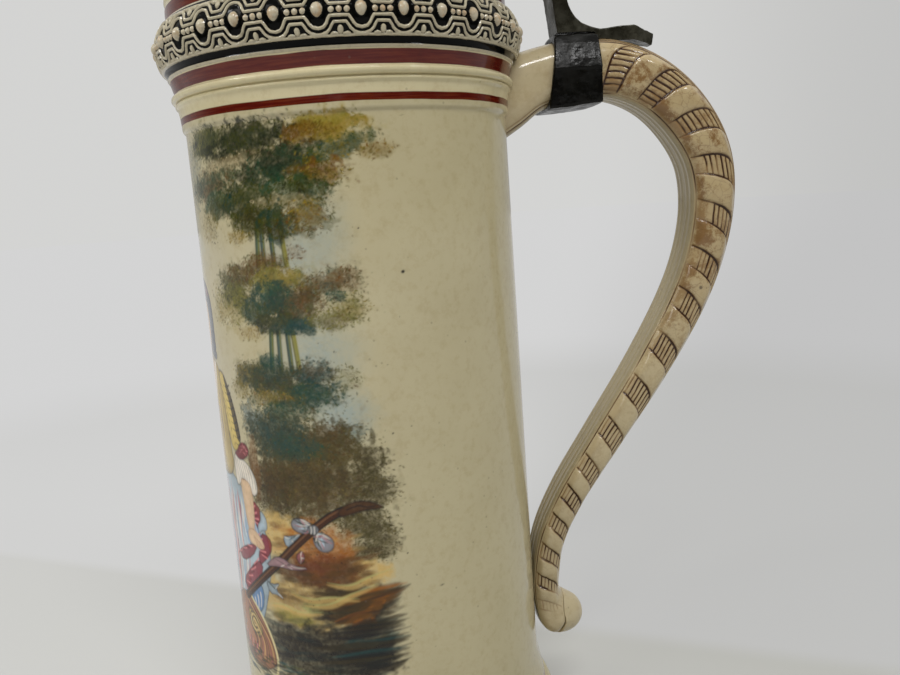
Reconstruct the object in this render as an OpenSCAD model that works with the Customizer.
// Tall one-litre beer stein: a glazed stoneware vessel with an applied relief belt
// and a luted handle, and a pewter-mounted lid that swings on a five-ring hinge.
// Z is up, the table is at z = 0, the vessel's axis is Z and the handle is on +X.

/* [Vessel] */
// Height of the vessel from the table to the lip
vessel_h = 232; // [228:1:240]
// Outer radius at the top of the straight wall
wall_r = 44; // [43:0.5:45]
// How much wider the straight wall is at its bottom than at its top
wall_lean = 1; // [0.5:0.25:1.5]
// Thickness of the pottery wall
wall_t = 5.4; // [4.5:0.1:6]
// Thickness of the floor
floor_t = 8; // [6:0.5:10]
// Outer radius of the foot
foot_r = 50.5; // [50:0.25:52]

/* [Relief belt] */
// Largest radius of the applied belt
belt_r = 49.3; // [48.5:0.1:50]
// Number of large beads round the belt
bead_count = 32; // [16:4:40]
// Radius of a large bead
bead_r = 1.5; // [1:0.1:1.8]

/* [Handle] */
// Half of the handle's width across the grip
grip_half_w = 8.4; // [7.5:0.1:9]
// Radius of the curled ball at the handle's lower end
scroll_r = 6.4; // [5.5:0.1:6.8]

/* [Pewter mount] */
// Length of the pewter strap along the handle
strap_l = 14; // [12:0.5:15]
// Thickness of the strap's metal
strap_t = 1.9; // [1.5:0.1:2.3]
// Width of the shank between the strap and the hinge
shank_w = 9.5; // [8:0.5:11]

/* [Hinge] */
// Distance of the hinge axis from the vessel's axis
hinge_x = 57.5; // [57:0.25:58.5]
// Height of the hinge axis above the lip
hinge_rise = 2; // [1.5:0.25:3]
// Outer radius of the hinge rings
knuckle_r = 4; // [3.75:0.05:4.1]
// Radius of the hinge pin
pin_r = 1.3; // [1:0.1:1.6]
// Radial clearance between the pin and the lid's rings
pin_gap = 0.05; // [0.02:0.01:0.08]
// Gap between neighbouring hinge rings
ring_gap = 0.3; // [0.25:0.05:0.4]
// Width of one fixed hinge ring
ring_w = 3.2; // [3:0.1:3.4]

/* [Lid] */
// Outer radius of the pewter rim
rim_r = 47.2; // [47:0.1:48]
// Gap between the closed lid and the lip
lid_gap = 0.3; // [0.2:0.05:0.4]
// Radius of the round opening that holds the inlay
inlay_r = 38; // [36:0.5:38.5]
// Height of the thumblift above the hinge axis
thumb_h = 32; // [30:1:36]

/* [Hidden] */

cream = [0.80, 0.75, 0.62];
black_glaze = [0.06, 0.06, 0.07];
pewter = [0.27, 0.27, 0.26];
steel = [0.45, 0.45, 0.46];
plaster = [0.88, 0.87, 0.83];

fine = 96;
lip_w = 5.2;                       // width of the rounded lip
neck_r = wall_r - 0.2;             // radius of the neck just under the lip
stripe_z = vessel_h - 40;          // lower edge of the mouldings under the belt
belt_seat_r = wall_r + 1.6;        // radius of the plain seat under the belt
belt_lo = stripe_z + 11.6;         // lower edge of the belt
belt_hi = stripe_z + 25.2;         // upper edge of the belt
bead_z = stripe_z + 18.4;          // height of the row of beads
mouth_r = wall_r - wall_t;         // inner radius of the vessel
hinge_z = vessel_h + hinge_rise;
hinge_w = 5 * ring_w + 4 * ring_gap - 0.2;
moving_w = ring_w - 0.1;
grip_top = stripe_z + 10;          // height of the handle's middle under the strap
strap_x = 57;                      // side of the strap that faces the vessel
rim_lo = vessel_h + lid_gap;       // underside of the lid
bed_z = rim_lo + 1.2;              // top of the underplate
inlay_z = bed_z + 3;               // top of the plaster bed
bezel_z = inlay_z + 2.3;           // underside of the bezel that holds the inlay
tang_z = rim_lo + 2.8;             // underside of the lid tang

// Points on an arc about (cx, cz), from angle a0 to a1, in n steps
function arc(cx, cz, r, a0, a1, n = 8) =
    [for (i = [0 : n]) let (a = a0 + (a1 - a0) * i / n) [cx + r * cos(a), cz + r * sin(a)]];

// ---- vessel ----------------------------------------------------------------

// Foot mouldings, from the table up to the start of the straight wall
function foot_outline() = concat(
    [[foot_r - 1.5, 0]],
    arc(foot_r - 1.2, 1.2, 1.2, -90, 0, 4),
    arc(foot_r - 1.2, 5.4, 1.2, 0, 90, 4),
    [[foot_r - 2.6, 6.9]],
    [[foot_r - 2.6, 7.8]],
    arc(foot_r - 4, 11.6, 3.4, -70, 70, 8),
    [[wall_r + 3.8, 15.4], [wall_r + 3.8, 18], [wall_r + 3.5, 22.6], [wall_r + 2.7, 26.6]],
    [[wall_r + 1.7, 30], [wall_r + wall_lean + 0.3, 33.5], [wall_r + wall_lean, 38]]);

// Mouldings between the straight wall and the belt
function shoulder_outline() = [
    [wall_r, stripe_z - 3], [wall_r + 0.6, stripe_z - 1.6], [wall_r + 0.7, stripe_z],
    [wall_r + 0.9, stripe_z + 1.8], [wall_r + 1.2, stripe_z + 3.8],
    [wall_r + 1.8, stripe_z + 4.6], [wall_r + 1.5, stripe_z + 5.5],
    [wall_r + 1.9, stripe_z + 6.2], [wall_r + 1.9, stripe_z + 7.3],
    [wall_r + 1.5, stripe_z + 7.9], [wall_r + 2.3, stripe_z + 10.6]];

// Neck above the belt and the outer half of the lip
function neck_outline() = concat(
    [[belt_seat_r, belt_hi], [belt_seat_r, belt_hi + 3.4]],
    arc(belt_seat_r - 1.6, belt_hi + 5, 1.6, -20, 60, 4),
    [[neck_r + 0.2, belt_hi + 7.6], [neck_r, belt_hi + 9.4]],
    arc(neck_r - lip_w / 2, vessel_h - lip_w / 2, lip_w / 2, 0, 90, 6));

function vessel_outline() = concat(foot_outline(), shoulder_outline(),
    [[belt_seat_r, stripe_z + 10.6]], neck_outline());

module vessel_solid() {
    rotate_extrude($fn = fine)
        polygon(concat([[0, 0]], vessel_outline(), [[0, vessel_h]]));
}

module vessel_cavity() {
    cove = 7;
    rotate_extrude($fn = fine)
        polygon(concat(
            [[0, floor_t]],
            arc(mouth_r - cove, floor_t + cove, cove, -90, 0, 8),
            arc(mouth_r + lip_w / 2, vessel_h - lip_w / 2, lip_w / 2, 180, 90, 6),
            [[mouth_r + lip_w / 2, vessel_h + 1], [0, vessel_h + 1]]));
}

// Shallow groove that leaves a foot ring on the underside
module foot_groove() {
    groove_d = 0.8;
    rotate_extrude($fn = fine)
        polygon([[36, -1], [41, -1], [41, 0], [40.2, groove_d], [36.8, groove_d], [36, 0]]);
}

module vessel() {
    color(cream)
        difference() {
            vessel_solid();
            vessel_cavity();
            foot_groove();
        }
}

// ---- relief belt -----------------------------------------------------------

function belt_outline() = concat(
    [[belt_seat_r, belt_lo], [wall_r + 2.8, belt_lo], [wall_r + 4, belt_lo + 1.4]],
    arc(belt_r - 7, stripe_z + 18, 7, -36, 58, 12),
    [[belt_seat_r + 0.3, belt_hi], [belt_seat_r, belt_hi]]);

module belt_ring() {
    rotate_extrude($fn = fine)
        polygon(belt_outline());
}

module relief_belt() {
    color(black_glaze)
        union() {
            belt_ring();
            for (i = [0 : bead_count - 1])
                rotate([0, 0, (i + 0.5) * 360 / bead_count])
                    translate([belt_r - 0.9, 0, bead_z])
                        sphere(r = bead_r, $fn = 24);
        }
}

// ---- handle ----------------------------------------------------------------

// Handle spine: x, height from the mouldings' lower edge, half depth
SPINE = [[36, 0, 10.6], [43, 3.4, 10], [52, 7.6, 8.7], [64, 10, 8.4], [77, 9.6, 8.3],
    [89, 4.2, 8.2], [98.5, -5.2, 8.1], [104.5, -17, 7.7], [105.5, -31, 7.2],
    [102.4, -46, 6.8], [96, -61, 6.5], [84.5, -80, 6], [70.5, -100, 5.4],
    [58.8, -117, 4.9], [51.8, -131, 4.6], [49.4, -144, 4.5], [51.4, -154, 4.8],
    [56, -157.6, 4.6]];
spine_steps = 4;
handle_sides = 20;

// Catmull-Rom curve through the spine at parameter u
function spine_at(u) =
    let (last = len(SPINE) - 1,
        i = max(min(floor(u), last - 1), 0), t = u - i,
        a = SPINE[max(i - 1, 0)], b = SPINE[i], c = SPINE[i + 1], d = SPINE[min(i + 2, last)])
    0.5 * (2 * b + (c - a) * t + (2 * a - 5 * b + 4 * c - d) * t * t
        + (3 * b - a - 3 * c + d) * t * t * t);

// The side away from the gap is round and the side next to it is flatter
function section_power(a) = sin(a) < 0 ? 0.45 : 0.86;
function signed_pow(v, p) = sign(v) * pow(abs(v), p);

function handle_ring(u, grow) =
    let (p = spine_at(u), q = spine_at(u + 0.01) - spine_at(u - 0.01),
        n = [-q[1], q[0]] / norm([q[0], q[1]]),
        half_w = grip_half_w * min(1, 0.82 + 0.02 * p[2] * p[2] / 6) + grow,
        half_d = p[2] + grow)
    [for (j = [0 : handle_sides - 1])
        let (a = 360 * (j + 0.5) / handle_sides,
            y = half_w * signed_pow(cos(a), section_power(a)),
            out = half_d * signed_pow(sin(a), section_power(a)))
        [p[0] + n[0] * out, y, stripe_z + p[1] + n[1] * out]];

module handle_sweep(grow = 0) {
    rings = (len(SPINE) - 1) * spine_steps;
    points = [for (i = [0 : rings]) each handle_ring(i / spine_steps, grow)];
    sides = [for (i = [0 : rings - 1], j = [0 : handle_sides - 1])
        let (a = i * handle_sides + j, b = i * handle_sides + (j + 1) % handle_sides)
        each [[b, a, a + handle_sides], [b, a + handle_sides, b + handle_sides]]];
    first = [for (j = [0 : handle_sides - 1]) j];
    final = [for (j = [handle_sides - 1 : -1 : 0]) rings * handle_sides + j];
    polyhedron(points, concat(sides, [first, final]), convexity = 6);
}

module handle() {
    color(cream)
        difference() {
            union() {
                handle_sweep();
                translate([56, 0, stripe_z - 157.6])
                    sphere(r = scroll_r, $fn = 48);
            }
            vessel_solid();
            belt_ring();
        }
}

// ---- pewter mount on the handle --------------------------------------------

// Faceted outline of the strap, half width by half height
function strap_outline() =
    let (w = grip_half_w + strap_t, h = 8.4 + strap_t, c = 4.4)
    [[-w, -h + c * 0.5], [-w + c * 0.5, -h], [w - c * 0.5, -h], [w, -h + c * 0.5],
        [w, h - c], [w - c, h], [-w + c, h], [-w, h - c]];

module handle_strap() {
    nub_w = 3;
    color(pewter)
        difference() {
            union() {
                translate([strap_x, 0, grip_top - 0.4])
                    rotate([90, 0, 90])
                        linear_extrude(strap_l)
                            polygon(strap_outline());
                translate([strap_x - 1.6, -grip_half_w - strap_t, grip_top - 11])
                    cube([2, nub_w, 2.2]);
            }
            handle_sweep(0.05);
        }
}

// Side outline of the shank: rises from the strap, with a tail along the handle
function shank_outline() = concat(
    [[59.9, grip_top + 9.8], [58.6, stripe_z + 30.5], [56, stripe_z + 35.6]],
    [[hinge_x - 2.4, hinge_z - knuckle_r - 0.5], [hinge_x + knuckle_r, hinge_z - knuckle_r - 0.5]],
    [[63.6, stripe_z + 34.5], [64.6, stripe_z + 30.5]],
    arc(74.6, stripe_z + 30.6, 9.8, 180, 262, 8),
    [[77.6, stripe_z + 21.4], [82.3, stripe_z + 21.8], [89.4, stripe_z + 18.8]],
    [[88.8, stripe_z + 14.4], [86, stripe_z + 13], [60, stripe_z + 14]]);

// Plan outline of the shank: straight, then a waisted tail with a pointed end
function shank_plan() =
    let (w = shank_w / 2)
    [[50, w], [66, w], [76, 3.4], [83, 4.6], [89.6, 0.8],
        [89.6, -0.8], [83, -4.6], [76, -3.4], [66, -w], [50, -w]];

module shank_body() {
    intersection() {
        translate([0, 20, 0])
            rotate([90, 0, 0])
                linear_extrude(40)
                    polygon(shank_outline());
        translate([0, 0, stripe_z])
            linear_extrude(60)
                polygon(shank_plan());
    }
}

// Flared head that carries the fixed rings
module shank_head() {
    head_lo = stripe_z + 32;
    head_hi = hinge_z - knuckle_r - 0.5;
    w = hinge_w / 2;
    s = shank_w / 2;
    intersection() {
        translate([52, 0, 0])
            rotate([90, 0, 90])
                linear_extrude(14)
                    polygon([[-s, head_lo - 2], [s, head_lo - 2], [s, head_lo],
                        [w, head_hi - 1.6], [w, head_hi], [-w, head_hi],
                        [-w, head_hi - 1.6], [-s, head_lo]]);
        translate([0, 20, 0])
            rotate([90, 0, 0])
                linear_extrude(40)
                    polygon(shank_outline());
    }
}

// A hinge ring of width w whose middle is at y, without its bore
module ring_blank(y, w) {
    translate([hinge_x, y + w / 2, hinge_z])
        rotate([90, 0, 0])
            cylinder(r = knuckle_r, h = w, $fn = 64);
}

module hinge_bore(r) {
    translate([hinge_x, hinge_w, hinge_z])
        rotate([90, 0, 0])
            cylinder(r = r, h = 2 * hinge_w, $fn = 48);
}

fixed_rings = [-(hinge_w - ring_w) / 2, 0, (hinge_w - ring_w) / 2];
moving_rings = [-(ring_w + moving_w) / 2 - ring_gap, (ring_w + moving_w) / 2 + ring_gap];

module hinge_shank() {
    foot_w = 0.6;
    color(pewter)
        difference() {
            union() {
                shank_body();
                shank_head();
                for (y = fixed_rings) {
                    ring_blank(y, ring_w);
                    translate([hinge_x - foot_w, y - ring_w / 2, hinge_z - knuckle_r - 1])
                        cube([knuckle_r + foot_w, ring_w, knuckle_r + 1]);
                }
            }
            hinge_bore(pin_r);
            handle_sweep(0.05);
            translate([strap_x - 1, 0, grip_top - 0.4])
                rotate([90, 0, 90])
                    linear_extrude(strap_l + 1)
                        polygon(strap_outline());
        }
}

module hinge_pin() {
    color(steel)
        translate([hinge_x, hinge_w / 2, hinge_z])
            rotate([90, 0, 0])
                cylinder(r = pin_r, h = hinge_w, $fn = 48);
}

// One domed cap that closes the end of the pin's bore, pointing along +Z
module pin_cap() {
    cap_r = 2.6;
    cap_h = 0.9;
    rotate_extrude($fn = 48)
        polygon(concat([[0, 0], [cap_r, 0], [cap_r, 0.3]],
            arc(cap_r - 0.6, 0.3, 0.6, 0, 90, 4), [[0, cap_h]]));
}

module hinge_pin_caps() {
    color(pewter)
        for (side = [-1, 1])
            translate([hinge_x, side * hinge_w / 2, hinge_z])
                rotate([-90 * side, 0, 0])
                    pin_cap();
}

// ---- lid -------------------------------------------------------------------

module lid_tang() {
    plate_t = 2.6;
    plate_x = rim_r - 5.6;
    plate_end = hinge_x - knuckle_r - 1;
    color(pewter)
        difference() {
            union() {
                translate([plate_x, -hinge_w / 2, tang_z])
                    cube([plate_end - plate_x, hinge_w, plate_t]);
                for (y = moving_rings) {
                    ring_blank(y, moving_w);
                    translate([plate_end - 1, y - moving_w / 2, tang_z])
                        cube([hinge_x - plate_end + 1, moving_w, plate_t]);
                }
            }
            hinge_bore(pin_r + pin_gap);
        }
}

function rim_outline() = concat(
    [[inlay_r, rim_lo], [rim_r - 2, rim_lo], [rim_r - 2, rim_lo - 2.4], [rim_r - 0.6, rim_lo - 2.4]],
    arc(rim_r - 0.9, rim_lo - 1.5, 0.9, -60, 0, 3),
    [[rim_r, tang_z - 0.8], [rim_r - 0.6, tang_z], [rim_r - 5.8, tang_z]],
    [[rim_r - 6.2, tang_z + 0.9]],
    arc(inlay_r + 1.4, bezel_z - 0.8, 1.6, 20, 90, 5),
    [[inlay_r - 0.8, bezel_z + 0.8], [inlay_r - 0.8, bezel_z], [inlay_r, bezel_z]]);

module lid_rim() {
    color(pewter)
        rotate_extrude($fn = fine)
            polygon(rim_outline());
}

module lid_underplate() {
    color(pewter)
        translate([0, 0, rim_lo])
            cylinder(r = inlay_r, h = bed_z - rim_lo, $fn = fine);
}

module lid_plaster_bed() {
    color(plaster)
        translate([0, 0, bed_z])
            cylinder(r = inlay_r, h = inlay_z - bed_z, $fn = fine);
}

function inlay_outline() = concat(
    [[0, inlay_z], [inlay_r, inlay_z], [inlay_r, bezel_z], [inlay_r - 1, bezel_z]],
    arc(inlay_r - 3.4, bezel_z, 2.4, 0, 70, 4),
    [[inlay_r - 6, bezel_z + 1.6], [inlay_r - 7, bezel_z + 2.4]],
    arc(0, bezel_z - 51, 62, 60, 83, 8),
    [[6.6, bezel_z + 10.6]],
    arc(0, bezel_z + 8.4, 6, 24, 90, 8));

module lid_inlay() {
    color(cream)
        rotate_extrude($fn = fine)
            polygon(inlay_outline());
}

// Side outline of the thumblift, a blade that leans back over the hinge
function thumb_side() =
    let (top = hinge_z + thumb_h, base = tang_z + 2.6)
    [[rim_r - 0.4, base], [hinge_x - 5, base], [hinge_x - 3.4, base + 3],
        [hinge_x - 1.6, base + 9], [hinge_x, top - 12], [hinge_x + 2, top - 5],
        [hinge_x + 4.4, top], [hinge_x + 1.6, top + 1], [hinge_x - 1.4, top - 4],
        [hinge_x - 3.8, top - 12], [hinge_x - 6, base + 9], [hinge_x - 8.4, base + 4]];

// Front outline of the thumblift: a narrow stem under a broad rounded leaf
module thumb_front() {
    top = hinge_z + thumb_h + 1;
    base = tang_z + 2.6;
    translate([0, top - 9])
        circle(r = 9, $fn = 64);
    for (side = [-1, 1])
        translate([side * 7, top - 15])
            circle(r = 3.4, $fn = 48);
    polygon([[-7, base], [7, base], [4, base + 4], [4.6, top - 14], [-4.6, top - 14],
        [-4, base + 4]]);
}

module thumblift() {
    color(pewter)
        intersection() {
            translate([0, 20, 0])
                rotate([90, 0, 0])
                    linear_extrude(40)
                        polygon(thumb_side());
            translate([30, 0, 0])
                rotate([90, 0, 90])
                    linear_extrude(40)
                        thumb_front();
        }
}

vessel();
relief_belt();
handle();
handle_strap();
hinge_shank();
hinge_pin();
hinge_pin_caps();
lid_tang();
lid_rim();
lid_underplate();
lid_plaster_bed();
lid_inlay();
thumblift();
